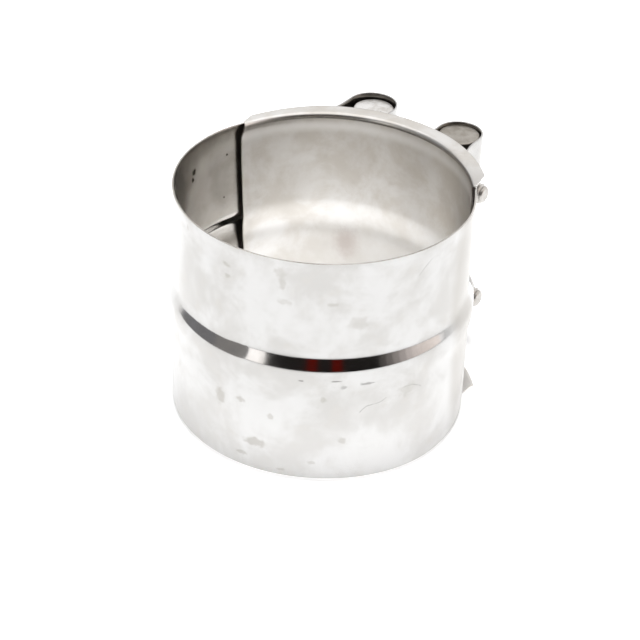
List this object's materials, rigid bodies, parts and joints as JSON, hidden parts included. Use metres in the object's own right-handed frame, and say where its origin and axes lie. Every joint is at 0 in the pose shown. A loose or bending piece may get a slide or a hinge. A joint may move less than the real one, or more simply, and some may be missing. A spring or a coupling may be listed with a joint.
{
  "type": "lap joint pipe clamp",
  "caption": "Wide stainless band clamp for a pipe lap joint: stepped and ridged band, looped ends round bars, draw bolts with washers and a flanged bridge plate under the gap.",
  "frame": {"origin": "on the clamp's axis, at the middle of the lower socket's wall", "axes": "+Z along the clamp's axis, from the larger lower socket to the smaller upper one; +Y towards the gap, the bars and the bolts; the bolts run along X with their heads at -X"},
  "size_m": [0.1366, 0.1565, 0.1116],
  "materials": {
    "band_steel": "bright rolled stainless sheet with handling marks",
    "plate_steel": "dull rolled stainless sheet, lightly stained",
    "bar_steel": "turned bar, sawn and faced ends",
    "bolt_steel": "cold-formed stainless fastener"
  },
  "bodies": {
    "clamp_band": {"outer_band": "band_steel", "plain_bar": "bar_steel", "threaded_bar": "bar_steel"},
    "bridge": {"bridge_plate": "plate_steel"},
    "upper_washers": {"upper_lock_washer": "bolt_steel", "upper_flat_washer": "bolt_steel"},
    "upper_screw": {"upper_bolt": "bolt_steel"},
    "lower_washers": {"lower_lock_washer": "bolt_steel", "lower_flat_washer": "bolt_steel"},
    "lower_screw": {"lower_bolt": "bolt_steel"}
  },
  "joints": [
    {"name": "bridge_slide_round", "type": "hinge", "parent": "clamp_band", "child": "bridge", "pos_m": [0, 0, 0], "axis": [0, 0, 1], "range_deg": [-30, 20]},
    {"name": "upper_bolt_travel", "type": "slide", "parent": "clamp_band", "child": "upper_washers", "axis": [-1, 0, 0], "range_m": [-0.00206, 0.02381]},
    {"name": "upper_bolt_turn", "type": "hinge", "parent": "upper_washers", "child": "upper_screw", "pos_m": [0, 0.0768, 0.0591], "axis": [-1, 0, 0], "range_deg": [-469, 5401]},
    {"name": "lower_bolt_travel", "type": "slide", "parent": "clamp_band", "child": "lower_washers", "axis": [-1, 0, 0], "range_m": [-0.00032, 0.0254]},
    {"name": "lower_bolt_turn", "type": "hinge", "parent": "lower_washers", "child": "lower_screw", "pos_m": [0, 0.0768, 0.0031], "axis": [-1, 0, 0], "range_deg": [-73, 5761]}
  ],
  "couplings": [
    {"joint": "upper_bolt_turn", "follows": "upper_bolt_travel", "rad_per_m": 3957.9},
    {"joint": "lower_bolt_turn", "follows": "lower_bolt_travel", "rad_per_m": 3957.9}
  ]
}
